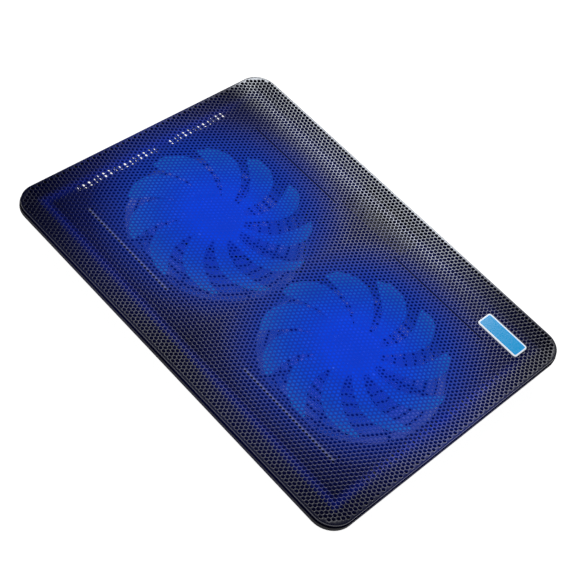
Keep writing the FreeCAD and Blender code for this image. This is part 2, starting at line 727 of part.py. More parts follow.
def make_leg_pins():
    reach = LEG_HALF + LUG_GAP + LUG_WIDTH
    pins = []
    for side in (-1, 1):
        start = Vector(side * LEG_X - reach, LEG_AXIS_Y, LEG_AXIS_Z)
        pins.append(Part.makeCylinder(LEG_PIN_RADIUS, 2 * reach, start, Vector(1, 0, 0)))
    return Part.makeCompound(pins)


# ---------------------------------------------------------------- sockets, switch, boards

def make_hub_board():
    board = block(-BOARD_HALF, BOARD_HALF, BOARD_FRONT, BOARD_REAR, BOARD_BOTTOM, BOARD_TOP)
    holes = [disc(1.0, BOARD_BOTTOM, BOARD_TOP, side * BOARD_SCREW_X, BOARD_SCREW_Y) for side in (-1, 1)]
    return single_solid(board.cut(holes))


def make_socket_shell(x):
    half = SOCKET_WIDTH / 2
    top = SOCKET_BOTTOM + SOCKET_HEIGHT
    outer = block(x - half, x + half, SOCKET_MOUTH - SOCKET_DEPTH, SOCKET_MOUTH, SOCKET_BOTTOM, top)
    inner = block(
        x - half + SOCKET_SHEET, x + half - SOCKET_SHEET, SOCKET_MOUTH - SOCKET_DEPTH + SOCKET_SHEET, SOCKET_MOUTH,
        SOCKET_BOTTOM + SOCKET_SHEET, top - SOCKET_SHEET)
    return single_solid(outer.cut(inner))


def tongue_block(x):
    back = SOCKET_MOUTH - SOCKET_DEPTH + SOCKET_SHEET
    low = SOCKET_BOTTOM + SOCKET_HEIGHT - SOCKET_SHEET - 0.55 - TONGUE_HEIGHT
    return x - TONGUE_WIDTH / 2, x + TONGUE_WIDTH / 2, back, back + TONGUE_LENGTH, low, low + TONGUE_HEIGHT


def make_socket_tongue(x):
    tongue = block(*tongue_block(x))
    front = [e for e in tongue.Edges if e.BoundBox.YLength < 0.01 and e.BoundBox.YMin > SOCKET_MOUTH - 3]
    return single_solid(tongue.makeChamfer(0.3, front))


def make_contacts():
    strips = []
    for x in SOCKET_X:
        _, _, back, front, low, _ = tongue_block(x)
        for index in range(CONTACT_COUNT):
            middle = x + (index - (CONTACT_COUNT - 1) / 2) * CONTACT_PITCH
            strips.append(block(middle - 0.5, middle + 0.5, back + 1, front - 1, low - 0.15, low))
    return Part.makeCompound(strips)


def make_switch_body():
    half = SWITCH_WIDTH / 2
    body = block(SWITCH_X - half, SWITCH_X + half, SWITCH_REAR - SWITCH_DEPTH, SWITCH_REAR,
                 BOARD_TOP, BOARD_TOP + SWITCH_HEIGHT)
    slot_half = (KNOB_WIDTH + KNOB_TRAVEL) / 2 + SOCKET_GAP
    slot_rise = KNOB_HEIGHT / 2 + 0.08
    slot = block(SWITCH_X - slot_half, SWITCH_X + slot_half, SWITCH_REAR - 2.5, SWITCH_REAR,
                 SWITCH_MID_Z - slot_rise, SWITCH_MID_Z + slot_rise)
    return single_solid(body.cut(slot))


def make_switch_knob():
    """Shown in the off position, at the low-X end of its travel."""
    x = SWITCH_X - KNOB_TRAVEL / 2
    knob = block(x - KNOB_WIDTH / 2, x + KNOB_WIDTH / 2, SWITCH_REAR - 2.3, REAR_FACE - 0.1,
                 SWITCH_MID_Z - KNOB_HEIGHT / 2, SWITCH_MID_Z + KNOB_HEIGHT / 2)
    front = [e for e in knob.Edges if e.BoundBox.YMin > REAR_FACE - 0.2]
    return single_solid(knob.makeFillet(0.35, front))


# ---------------------------------------------------------------- leads

LEAD_START = MOTOR_BASE_RADIUS - 3.0
LEFT_LEAD_ANGLE = 252.0
RIGHT_LEAD_ANGLE = 157.0


def lead_exit(fan_x, angle):
    turn = math.radians(angle)
    return Vector(fan_x + LEAD_START * math.cos(turn), FAN_LINE_Y + LEAD_START * math.sin(turn), LEAD_FLOOR_Z)


def lead_to_board(side):
    """Second half of a lead: to the bay's rear wall, over it in a wide bend and down to the board."""
    wall_y = FAN_LINE_Y + BAY_HALF_DEPTH - BAY_WALL
    rise_y = wall_y - LEAD_BEND
    return [
        Vector(side * LEAD_CORNER_X, wall_y - LEAD_RADIUS - LEAD_GAP, LEAD_FLOOR_Z),
        Vector(side * LEAD_RISE_X, rise_y, LEAD_FLOOR_Z),
        Vector(side * LEAD_RISE_X, rise_y, LEAD_SLAB_Z),
        Vector(side * LEAD_RISE_X, HOUSING_FRONT, LEAD_SLAB_Z),
        Vector(side * LEAD_LANDING_X, LEAD_LANDING_Y, LEAD_SLAB_Z),
        Vector(side * LEAD_LANDING_X, LEAD_LANDING_Y, BOARD_TOP),
    ]


def make_left_lead():
    start = lead_exit(-FAN_OFFSET, LEFT_LEAD_ANGLE)
    points = [
        start,
        Vector(-98.0, -51.5, LEAD_FLOOR_Z),
        Vector(-3.4, LEAD_POST_Y, LEAD_FLOOR_Z),
    ]
    return round_wire_along(points + lead_to_board(-1), LEAD_RADIUS)


def make_right_lead():
    start = lead_exit(FAN_OFFSET, RIGHT_LEAD_ANGLE)
    points = [
        start,
        Vector(3.4, LEAD_POST_Y, LEAD_FLOOR_Z),
    ]
    return round_wire_along(points + lead_to_board(1), LEAD_RADIUS)


# ---------------------------------------------------------------- write every piece

def main():
    save("base_tray", make_base_tray())
    save("mesh_panel", make_mesh_panel())
    save("badge_bezel", make_badge_bezel())
    save("badge_plate", make_badge_plate())
    save_fan("left", -FAN_OFFSET, LEFT_LEAD_ANGLE)
    save_fan("right", FAN_OFFSET, RIGHT_LEAD_ANGLE)
    save("motor_screws", make_motor_screws())
    for name, (x, y) in foot_places().items():
        save("foot_%s" % name, make_foot(x, y))
    for name, side in (("left", -1), ("right", 1)):
        save("leg_%s" % name, make_leg(side))
        save("leg_tip_%s" % name, make_leg_tip(side))
    save("leg_pins", make_leg_pins())
    save("hub_board", make_hub_board())
    save("board_screws", make_board_screws())
    for name, x in zip(("left", "right"), SOCKET_X):
        save("usb_shell_%s" % name, make_socket_shell(x))
        save("usb_tongue_%s" % name, make_socket_tongue(x))
    save("usb_contacts", make_contacts())
    save("switch_body", make_switch_body())
    save("switch_knob", make_switch_knob())
    save("fan_lead_left", make_left_lead())
    save("fan_lead_right", make_right_lead())


main()
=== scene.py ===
import json
import math

import bpy
import numpy as np
from mathutils import Matrix, Vector, geometry, kdtree


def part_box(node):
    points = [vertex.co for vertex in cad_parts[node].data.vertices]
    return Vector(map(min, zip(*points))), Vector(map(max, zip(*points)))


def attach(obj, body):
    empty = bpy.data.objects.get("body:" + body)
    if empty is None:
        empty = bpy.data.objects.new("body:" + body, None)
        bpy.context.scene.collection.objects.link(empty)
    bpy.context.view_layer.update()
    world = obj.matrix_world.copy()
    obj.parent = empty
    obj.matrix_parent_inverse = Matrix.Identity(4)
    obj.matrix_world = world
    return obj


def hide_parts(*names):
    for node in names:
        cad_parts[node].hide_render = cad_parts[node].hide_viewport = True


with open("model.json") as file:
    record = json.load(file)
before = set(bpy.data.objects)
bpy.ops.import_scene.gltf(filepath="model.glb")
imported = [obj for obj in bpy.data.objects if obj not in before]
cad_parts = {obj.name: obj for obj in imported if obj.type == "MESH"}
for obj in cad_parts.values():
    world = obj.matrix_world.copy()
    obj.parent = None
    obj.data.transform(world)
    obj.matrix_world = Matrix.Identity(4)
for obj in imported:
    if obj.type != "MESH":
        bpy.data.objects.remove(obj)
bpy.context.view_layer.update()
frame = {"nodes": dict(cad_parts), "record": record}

# Laptop cooling pad: a pierced steel panel over a tray with two lit fans.
# Everything is in metres; MM turns millimetres into metres.
MM = 0.001

# ---------------------------------------------------------------- driving sizes

# Holes of the mesh panel: round, with softened edges, one in each cell of a honeycomb
HOLE_PITCH = 3.65 * MM
HOLE_RADIUS = 1.28 * MM
HOLE_SIDES = 12
HOLE_ROUND = 0.13 * MM
EDGE_STRIP = 0.65 * MM
CELL_SIDES = 6
CELL_TURN = 30
CELL_RADIUS = HOLE_PITCH / math.sqrt(3)

# Sheet of the mesh panel: a shallow dish with a turned-down lip
PANEL_SHEET = 0.6 * MM
PANEL_CORNER = 19.3 * MM
PANEL_EDGE_ROUND = 0.5 * MM
LIP_DROP = 2.0 * MM
LIP_EDGE = 0.12 * MM
DISH_RIM = 2.0 * MM
DISH_BAND_X = 15.5 * MM
DISH_BAND_Y = 18.5 * MM
DISH_DEPTH = 2.2 * MM
DISH_CORNER_POWER = 2.4
DISH_CREASE = 0.12

# How finely the panel is made: its strips, the steps of a corner and the angle of a sharp edge
PANEL_STRIPS = 6
CORNER_STEPS = 24
SHARP_EDGE = math.radians(50)

# Distances within which two places count as one
SAME_PLACE = 0.001 * MM
BORDER_TOLERANCE = 0.0001 * MM
STRIP_TOLERANCE = 1e-9

# Blue light from the fans, by distance from the nearer fan's axis
GLOW_REACH = 170 * MM
ROTOR_REACH = 80 * MM
BOARD_GLOW = (20 * MM, 60 * MM)
TABLE_GLOW_REACH = 95 * MM

# Line of light along the panel's crease, weaker towards the rear
CREASE_GLOW_WIDTH = 5.5 * MM
CREASE_FADE = (60 * MM, 100 * MM)
CREASE_REAR_SHARE = 0.3

# Powder coat on the mesh, with its sheen painted on by place where the light falls: matt over the fans,
# shiniest along the rear band, duller to the sides and the front.  A REACH is measured from the nearer
# fan's axis, a FADE along X or Y.
COAT_ROUGHNESS = (0.25, 0.32)
MATT_EXTRA = 0.5
MATT_REACH = (50 * MM, 105 * MM)
COAT_SHEEN = (0.05, 0.9)
SHEEN_REACH = (60 * MM, 110 * MM)
REAR_FADE = (92 * MM, 118 * MM)
RIGHT_FADE = (60 * MM, 150 * MM)
RIGHT_SHARE = 0.1
LEFT_FADE = (-150 * MM, -50 * MM)
LEFT_SHARE = 0.3
FRONT_FADE = (-110 * MM, -30 * MM)
FRONT_SHARE = 0.6

# Noise values at which a surface's colour or gloss reaches its two ends
NOISE_LOW = 0.3
NOISE_HIGH = 0.7

# Moulded or cast grain: strength of its relief, and how much broader the drift of colour is
GRAIN_STRENGTH = 0.5
BROAD_PER_FINE = 40

# Colour of what gives no light
UNLIT = (0.0, 0.0, 0.0)

# Inner faces of the fan bay, which catch the blue light, the slab round it, and how soft the
# light's limits are
BAY_HALF_X = 164.2 * MM
BAY_HALF_Y = 82.2 * MM
BAY_BOTTOM = 5.0 * MM
SLAB_TOP = 21.2 * MM
BAY_EDGE = 0.5 * MM
LEVEL_EDGE = 0.2 * MM

# Ribs of the tray behind and in front of each fan; the mesh above them gets a painted line, painted shade
# behind each fan and a painted highlight in front
RIB_UNDER_TOP = 24.75 * MM
RIB_TOP = 24.9 * MM
REAR_RIB_Y = 88.3 * MM
REAR_RIB_X = (36 * MM, 139 * MM)
FRONT_RIB_Y = -94.3 * MM
FRONT_RIB_X = (46 * MM, 146 * MM)
RIB_LINE_HALF = 1.0 * MM
RIB_LINE_END = 1.0 * MM

# Camera: where it stands round the pad, its turn about its own axis, its lens and what it looks at
CAMERA_AZIMUTH = 31.42
CAMERA_ELEVATION = 50.32
CAMERA_ROLL = 19.3
CAMERA_DISTANCE = 1088.1 * MM
CAMERA_LENS = 82.88
CAMERA_SENSOR = 36
CAMERA_AIM = Vector((3.07, -3.13, 14.0)) * MM

# Table with the pad's shade on it, which starts inside the pad's outline, sky and softboxes
TABLE_HALF = 4.0
TABLE_LIGHT = 0.96
TABLE_SHADE = (-60 * MM, 0.0)
SKY_STRENGTH = 0.03
PAD_MIDDLE = (0, 0, 26 * MM)
SOFTBOX_HEIGHT = 1.0

panel_low, panel_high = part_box("mesh_panel")
PANEL_HALF_X = (panel_high[0] - panel_low[0]) / 2
PANEL_HALF_Y = (panel_high[1] - panel_low[1]) / 2
PANEL_TOP = panel_high[2]
CREASE_HALF_X = PANEL_HALF_X - DISH_RIM - DISH_BAND_X
CREASE_HALF_Y = PANEL_HALF_Y - DISH_RIM - DISH_BAND_Y
FAN_CENTRES = []
for side in ("left", "right"):
    shaft_low, shaft_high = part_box("fan_%s_shaft" % side)
    FAN_CENTRES.append(((shaft_low[0] + shaft_high[0]) / 2, (shaft_low[1] + shaft_high[1]) / 2))


# ---------------------------------------------------------------- node helpers

class Shader:
    """A node material built around one Principled shader."""

    def __init__(self, name):
        self.material = bpy.data.materials.new(name)
        self.material.use_nodes = True
        self.tree = self.material.node_tree
        self.surface = self.tree.nodes["Principled BSDF"]
        self.place = self.node("ShaderNodeTexCoord").outputs["Object"]

    def node(self, kind, **values):
        made = self.tree.nodes.new(kind)
        for key, value in values.items():
            setattr(made, key, value)
        return made

    def link(self, source, target):
        self.tree.links.new(source, target)

    def set(self, **values):
        for key, value in values.items():
            self.surface.inputs[key.replace("_", " ")].default_value = value

    def noise(self, scale, detail=2.0, stretch=(1, 1, 1)):
        """Noise value; `scale` is in features per metre."""
        mapping = self.node("ShaderNodeMapping")
        mapping.inputs["Scale"].default_value = stretch
        self.link(self.place, mapping.inputs["Vector"])
        texture = self.node("ShaderNodeTexNoise")
        texture.inputs["Scale"].default_value = scale
        texture.inputs["Detail"].default_value = detail
        self.link(mapping.outputs["Vector"], texture.inputs["Vector"])
        return texture.outputs["Fac"]

    def ramp(self, value, stops):
        """Colours at given positions from 0 to 1."""
        ramp = self.node("ShaderNodeValToRGB")
        elements = ramp.color_ramp.elements
        while len(elements) < len(stops):
            elements.new(0.5)
        for element, (position, colour) in zip(elements, stops):
            element.position = position
            element.color = (*colour, 1.0)
        self.link(value, ramp.inputs["Fac"])
        return ramp.outputs["Color"]

    def span(self, value, low, high, from_low=0.0, from_high=1.0):
        """Value rescaled from one range to another and held at its ends."""
        spread = self.node("ShaderNodeMapRange")
        spread.inputs["From Min"].default_value = from_low
        spread.inputs["From Max"].default_value = from_high
        spread.inputs["To Min"].default_value = low
        spread.inputs["To Max"].default_value = high
        self.link(value, spread.inputs["Value"])
        return spread.outputs["Result"]

    def math(self, operation, first, second):
        made = self.node("ShaderNodeMath", operation=operation)
        for socket, value in zip(made.inputs, (first, second)):
            if isinstance(value, (int, float)):
                socket.default_value = value
            else:
                self.link(value, socket)
        return made.outputs["Value"]

    def bump(self, value, strength, height):
        made = self.node("ShaderNodeBump")
        made.inputs["Strength"].default_value = strength
        made.inputs["Distance"].default_value = height
        self.link(value, made.inputs["Height"])
        self.link(made.outputs["Normal"], self.surface.inputs["Normal"])

    def absolute(self, value):
        return self.math("ABSOLUTE", value, 0.0)

    def product(self, first, second):
        return self.math("MULTIPLY", first, second)

    def axes(self):
        """X, Y and Z of the place that is shaded."""
        split = self.node("ShaderNodeSeparateXYZ")
        self.link(self.place, split.inputs["Vector"])
        return split.outputs

    def past_box(self, half_x, half_y, middle_y=None):
        """How far a place lies outside a rectangle in plan; negative inside it."""
        x, y, _ = self.axes()
        if middle_y is not None:
            y = self.math("SUBTRACT", y, middle_y)
        past_side = self.math("SUBTRACT", self.absolute(x), half_x)
        past_end = self.math("SUBTRACT", self.absolute(y), half_y)
        return self.math("MAXIMUM", past_side, past_end)

    def crease_light(self, colour):
        """Soft line of light along the crease between the panel's flat field and its sloping band."""
        off_crease = self.absolute(self.past_box(CREASE_HALF_X, CREASE_HALF_Y))
        near = self.span(off_crease, 1.0, 0.0, 0.0, CREASE_GLOW_WIDTH)
        _, y, _ = self.axes()
        fade = self.span(y, 1.0, CREASE_REAR_SHARE, *CREASE_FADE)
        return self.ramp(self.product(near, fade), [(0.0, UNLIT), (1.0, colour)])

    def rib_line_mask(self, rib_y, rib_x):
        """1 along the two ribs at one depth, 0 away from them: where the mesh gets its painted line of
        shade or highlight.
        """
        x, y, _ = self.axes()
        off_line = self.absolute(self.math("SUBTRACT", y, rib_y))
        across = self.span(off_line, 1.0, 0.0, RIB_LINE_HALF / 2, RIB_LINE_HALF)
        side = self.absolute(x)
        after_start = self.span(side, 0.0, 1.0, rib_x[0] - RIB_LINE_END, rib_x[0])
        before_end = self.span(side, 1.0, 0.0, rib_x[1], rib_x[1] + RIB_LINE_END)
        return self.product(across, self.product(after_start, before_end))

    def add_colours(self, first, second):
        both = self.node("ShaderNodeVectorMath", operation="ADD")
        self.link(first, both.inputs[0])
        self.link(second, both.inputs[1])
        return both.outputs["Vector"]

    def from_fan(self, reach):
        """0 at the nearer fan's axis, 1 at a distance of `reach` and beyond."""
        return self.span(self.fan_distance(), 0.0, 1.0, 0.0, reach)

    def fan_distance(self):
        """Distance from the nearer fan's axis."""
        distances = []
        for x, y in FAN_CENTRES:
            offset = self.node("ShaderNodeVectorMath", operation="SUBTRACT")
            self.link(self.place, offset.inputs[0])
            offset.inputs[1].default_value = (x, y, 0)
            level = self.node("ShaderNodeVectorMath", operation="MULTIPLY")
            self.link(offset.outputs["Vector"], level.inputs[0])
            level.inputs[1].default_value = (1, 1, 0)
            length = self.node("ShaderNodeVectorMath", operation="LENGTH")
            self.link(level.outputs["Vector"], length.inputs[0])
            distances.append(length.outputs["Value"])
        return self.math("MINIMUM", *distances)

    def clouded(self, noise, dark, light, socket="Base Color"):
        """A colour that drifts between two tones with the noise."""
        colour = self.ramp(noise, [(NOISE_LOW, dark), (NOISE_HIGH, light)])
        self.link(colour, self.surface.inputs[socket])

    def uneven(self, noise, low, high, socket="Roughness"):
        """A value that drifts between two others with the noise."""
        self.link(self.span(noise, low, high, NOISE_LOW, NOISE_HIGH), self.surface.inputs[socket])


def textured(name, dark, light, roughness, grain, bump_height, metallic=0.0):
    """Colour and gloss that vary a little, with a fine moulded or cast grain."""
    shader = Shader(name)
    fine = shader.noise(grain, 3.0)
    broad = shader.noise(grain / BROAD_PER_FINE, 2.0)
    shader.clouded(broad, dark, light)
    shader.uneven(fine, *roughness)
    shader.set(Metallic=metallic)
    shader.bump(fine, GRAIN_STRENGTH, bump_height)
    return shader


# ---------------------------------------------------------------- materials

def tray_plastic():
    """Black ABS with a fine spark texture, lit blue inside the bay."""
    shader = Shader("tray_plastic")
    fine = shader.noise(2600, 3.0)
    broad = shader.noise(65, 2.0)
    shader.clouded(broad, (0.006, 0.006, 0.007), (0.010, 0.010, 0.011))
    shader.uneven(fine, 0.55, 0.7)
    shader.set(Specular_IOR_Level=0.15)
    shader.bump(fine, GRAIN_STRENGTH, 0.05 * MM)
    glow = shader.ramp(shader.from_fan(GLOW_REACH), [
        (0.0, (0.002, 0.010, 0.20)),
        (0.20, (0.001, 0.008, 0.18)),
        (0.35, (0.001, 0.005, 0.12)),
        (0.45, (0.0, 0.003, 0.08)),
        (0.56, (0.0, 0.002, 0.05)),
        (0.66, (0.0, 0.001, 0.028)),
        (0.90, (0.0, 0.0, 0.008)),
        (1.0, UNLIT),
    ])
    crease = shader.crease_light((0.0, 0.002, 0.05))
    shader.link(shader.add_colours(glow, crease), shader.surface.inputs["Emission Color"])
    shader.link(bay_mask(shader), shader.surface.inputs["Emission Strength"])
    return shader.material


def bay_mask(shader):
    """1 on the faces that the fans light: inside the bay and on top of the slab, but not on the ribs."""
    _, _, z = shader.axes()
    past_bay = shader.past_box(BAY_HALF_X, BAY_HALF_Y, FAN_CENTRES[0][1])
    in_bay = shader.span(past_bay, 1.0, 0.0, 0.0, BAY_EDGE)
    above_grille = shader.span(z, 0.0, 1.0, BAY_BOTTOM, BAY_BOTTOM + LEVEL_EDGE)
    on_slab = shader.span(z, 0.0, 1.0, SLAB_TOP - LEVEL_EDGE, SLAB_TOP)
    below_ribs = shader.span(z, 1.0, 0.0, RIB_UNDER_TOP, RIB_TOP)
    lit = shader.math("MAXIMUM", shader.product(in_bay, above_grille), on_slab)
    return shader.product(lit, below_ribs)


def mesh_coat():
    """Satin powder coat on the steel mesh, tinted by the blue light below, with a painted sheen and a line
    of painted shade over the rear ribs.
    """
    shader = Shader("mesh_steel")
    fine = shader.noise(1500, 3.0)
    # Painted shade over the rear ribs: along that line the coat is dull and its blue glow drops to a fifth
    rear_shade_line = shader.rib_line_mask(REAR_RIB_Y, REAR_RIB_X)
    coat_and_painted_sheen(shader, fine, shader.math("SUBTRACT", 1.0, rear_shade_line))
    shader.bump(fine, 0.3, 0.01 * MM)
    shader.link(coat_light(shader), shader.surface.inputs["Emission Color"])
    shader.link(shader.span(rear_shade_line, 1.0, 0.2), shader.surface.inputs["Emission Strength"])
    return shader.material


def coat_and_painted_sheen(shader, fine, clear_of_shade_line):
    """Colour and gloss of the coat, with a painted sheen: a lighter, metallic grey along the rear band and
    more gloss where the light falls; dull where `clear_of_shade_line` is 0.
    """
    x, y, _ = shader.axes()
    distance = shader.fan_distance()
    broad = shader.noise(40, 2.0)
    black = shader.ramp(broad, [(NOISE_LOW, (0.006, 0.007, 0.010)), (NOISE_HIGH, (0.010, 0.011, 0.015))])
    # Painted sheen: the rear band, less of it to the right, is painted a lighter grey and made metallic so
    # that it shines brighter
    rear_part = shader.span(y, 0.0, 1.0, *REAR_FADE)
    painted_rear_sheen = shader.product(rear_part, shader.span(x, 1.0, RIGHT_SHARE, *RIGHT_FADE))
    steel = shader.ramp(painted_rear_sheen, [(0.0, UNLIT), (1.0, (0.22, 0.23, 0.24))])
    shader.link(shader.add_colours(black, steel), shader.surface.inputs["Base Color"])
    shader.link(shader.product(painted_rear_sheen, clear_of_shade_line), shader.surface.inputs["Metallic"])
    haze = shader.span(distance, MATT_EXTRA, 0.0, *MATT_REACH)
    roughness = shader.math("ADD", shader.span(fine, *COAT_ROUGHNESS, NOISE_LOW, NOISE_HIGH), haze)
    shader.link(roughness, shader.surface.inputs["Roughness"])
    # Painted sheen: the coat's gloss is faded near the fans and towards the left and the front, where less
    # light falls
    left_fade = shader.math("MAXIMUM", shader.span(x, LEFT_SHARE, 1.0, *LEFT_FADE), rear_part)
    front_fade = shader.span(y, FRONT_SHARE, 1.0, *FRONT_FADE)
    side_fade = shader.product(left_fade, front_fade)
    sheen = shader.product(shader.span(distance, *COAT_SHEEN, *SHEEN_REACH), side_fade)
    shader.link(shader.product(sheen, clear_of_shade_line), shader.surface.inputs["Specular IOR Level"])


def coat_light(shader):
    """Blue light that the coat takes from the fans, with the lit crease and a painted highlight line over
    the front ribs.
    """
    glow = shader.ramp(shader.from_fan(GLOW_REACH), [
        (0.0, (0.004, 0.040, 0.58)),
        (0.16, (0.005, 0.042, 0.58)),
        (0.24, (0.005, 0.036, 0.46)),
        (0.36, (0.006, 0.036, 0.37)),
        (0.46, (0.006, 0.034, 0.32)),
        (0.54, (0.005, 0.022, 0.22)),
        (0.66, (0.002, 0.006, 0.08)),
        (0.82, (0.001, 0.002, 0.022)),
        (1.0, (0.0, 0.0, 0.006)),
    ])
    # Painted highlight: a pale line of light over the front ribs
    front_highlight_line = shader.rib_line_mask(FRONT_RIB_Y, FRONT_RIB_X)
    painted_highlight_line = shader.ramp(front_highlight_line, [(0.0, UNLIT), (1.0, (0.10, 0.11, 0.15))])
    lit = shader.add_colours(glow, shader.crease_light((0.0, 0.003, 0.08)))
    return shader.add_colours(lit, painted_highlight_line)


def rotor_plastic():
    """Clear blue plastic that carries the light of the lamps at the hub out to the blade tips."""
    shader = Shader("rotor_blue")
    glow = shader.ramp(shader.from_fan(ROTOR_REACH), [
        (0.0, (0.004, 0.050, 0.62)),
        (0.28, (0.004, 0.052, 0.66)),
        (0.60, (0.005, 0.068, 0.60)),
        (0.85, (0.008, 0.095, 0.48)),
        (1.0, (0.010, 0.125, 0.42)),
    ])
    cloud = shader.noise(60, 2.0)
    shader.link(glow, shader.surface.inputs["Emission Color"])
    shader.uneven(cloud, 0.9, 1.1, "Emission Strength")
    shader.clouded(cloud, (0.002, 0.012, 0.12), (0.003, 0.018, 0.18))
    shader.set(Roughness=0.5, Specular_IOR_Level=0.1, Alpha=0.7)
    shader.bump(shader.noise(900, 2.0), 0.2, 0.03 * MM)
    return shader.material


def badge_part(name, dark, light, painted_glow):
    """Glossy plastic of the badge, with a painted faint glow that keeps it bright in soft light."""
    shader = textured(name, dark, light, (0.16, 0.26), 900, 0.01 * MM)
    dimmer = tuple(0.92 * share for share in painted_glow)
    light_colour = shader.ramp(shader.noise(45, 1.0), [(0.2, painted_glow), (0.8, dimmer)])
    # Painted glow: the badge shines by emission though it holds no lamp
    shader.link(light_colour, shader.surface.inputs["Emission Color"])
    shader.set(Emission_Strength=1.0, Coat_Weight=0.3, Coat_Roughness=0.08)
    return shader.material


def led_lens():
    """Clear lens of a blue lamp."""
    shader = Shader("led_blue")
    core = shader.noise(700, 1.0)
    shader.clouded(core, (0.05, 0.25, 1.0), (0.25, 0.5, 1.0), "Emission Color")
    shader.set(Emission_Strength=0.7, Roughness=0.2)
    return shader.material


def brushed(name, dark, light, roughness):
    """Metal with fine lines along X."""
    shader = Shader(name)
    lines = shader.noise(400, 3.0, (0.05, 1, 1))
    shader.clouded(lines, dark, light)
    shader.uneven(lines, *roughness)
    shader.set(Metallic=1.0)
    shader.bump(lines, 0.15, 0.02 * MM)
    return shader.material


def board_mask():
    """Black solder mask with faint tracks under it, lit by the lamps beside a fan's motor."""
    shader = Shader("board_black")
    tracks = shader.node("ShaderNodeTexBrick")
    tracks.inputs["Scale"].default_value = 160
    tracks.inputs["Mortar Size"].default_value = 0.06
    tracks.inputs["Color1"].default_value = (0.006, 0.006, 0.007, 1)
    tracks.inputs["Color2"].default_value = (0.009, 0.009, 0.010, 1)
    tracks.inputs["Mortar"].default_value = (0.018, 0.018, 0.020, 1)
    shader.link(shader.place, tracks.inputs["Vector"])
    shader.link(tracks.outputs["Color"], shader.surface.inputs["Base Color"])
    shader.set(Roughness=0.4, Emission_Strength=1.0)
    past_motor = shader.span(shader.fan_distance(), 0.0, 1.0, *BOARD_GLOW)
    lamp_light = shader.ramp(past_motor, [(0.0, (0.002, 0.016, 0.30)), (1.0, UNLIT)])
    shader.link(lamp_light, shader.surface.inputs["Emission Color"])
    shader.bump(tracks.outputs["Fac"], 0.2, 0.03 * MM)
    return shader.material


# Two tones, range of roughness, grain per metre, height of the grain and metal share
PLAIN_SURFACES = {
    "magnet_ferrite": ((0.02, 0.02, 0.022), (0.04, 0.04, 0.042), (0.6, 0.8), 1800, 0.05 * MM, 0.0),
    "bearing_bronze": ((0.30, 0.19, 0.09), (0.42, 0.28, 0.14), (0.45, 0.6), 2500, 0.03 * MM, 1.0),
    "winding_copper": ((0.40, 0.13, 0.05), (0.58, 0.22, 0.09), (0.25, 0.4), 1200, 0.1 * MM, 1.0),
    "foot_rubber": ((0.010, 0.010, 0.011), (0.018, 0.018, 0.019), (0.7, 0.9), 1800, 0.08 * MM, 0.0),
    "socket_black": ((0.012, 0.012, 0.012), (0.02, 0.02, 0.02), (0.4, 0.5), 1500, 0.02 * MM, 0.0),
    "contact_gold": ((0.70, 0.48, 0.18), (0.82, 0.58, 0.25), (0.2, 0.3), 1500, 0.01 * MM, 1.0),
    "lead_jacket": ((0.006, 0.006, 0.007), (0.012, 0.012, 0.014), (0.4, 0.55), 900, 0.03 * MM, 0.0),
}

# Two tones and the range of roughness
BRUSHED_METALS = {
    "steel": ((0.42, 0.43, 0.44), (0.62, 0.63, 0.65), (0.25, 0.4)),
    "plated_steel": ((0.10, 0.10, 0.11), (0.14, 0.14, 0.15), (0.4, 0.55)),
}

# Two tones and the colour of the badge's painted faint glow
BADGE_PARTS = {
    "badge_white": ((0.80, 0.84, 0.88), (0.88, 0.91, 0.94), (0.62, 0.66, 0.70)),
    "badge_blue": ((0.0, 0.26, 0.60), (0.0, 0.30, 0.66), (0.0, 0.235, 0.50)),
}


def make_materials():
    """Every material by the name of its slot."""
    made = {
        "tray_plastic": tray_plastic(),
        "mesh_steel": mesh_coat(),
        "rotor_blue": rotor_plastic(),
        "board_black": board_mask(),
        "led_blue": led_lens(),
    }
    for slot, values in BADGE_PARTS.items():
        made[slot] = badge_part(slot, *values)
    for slot, values in PLAIN_SURFACES.items():
        made[slot] = textured(slot, *values).material
    for slot, values in BRUSHED_METALS.items():
        made[slot] = brushed(slot, *values)
    return made


MATERIALS = make_materials()


def dress(obj, slot):
    """Gives an object one material."""
    obj.data.materials.clear()
    obj.data.materials.append(MATERIALS[slot])


for entry in frame["record"]["subparts"]:
    dress(frame["nodes"][entry["node"]], entry["material_slot"])


# ---------------------------------------------------------------- mesh panel

def dish_height(x, y):
    """Top face of the panel: flat rim, sloping band, flat field."""
    edge_x = PANEL_HALF_X - DISH_RIM
    edge_y = PANEL_HALF_Y - DISH_RIM
    rise_x = np.clip((np.abs(x) - (edge_x - DISH_BAND_X)) / DISH_BAND_X, 0, None)
    rise_y = np.clip((np.abs(y) - (edge_y - DISH_BAND_Y)) / DISH_BAND_Y, 0, None)
    slope = (rise_x ** DISH_CORNER_POWER + rise_y ** DISH_CORNER_POWER) ** (1 / DISH_CORNER_POWER)
    slope = np.clip(slope, 0, 1)
    eased = slope * slope * (3 - 2 * slope)
    return PANEL_TOP - DISH_DEPTH * (1 - ((1 - DISH_CREASE) * slope + DISH_CREASE * eased))


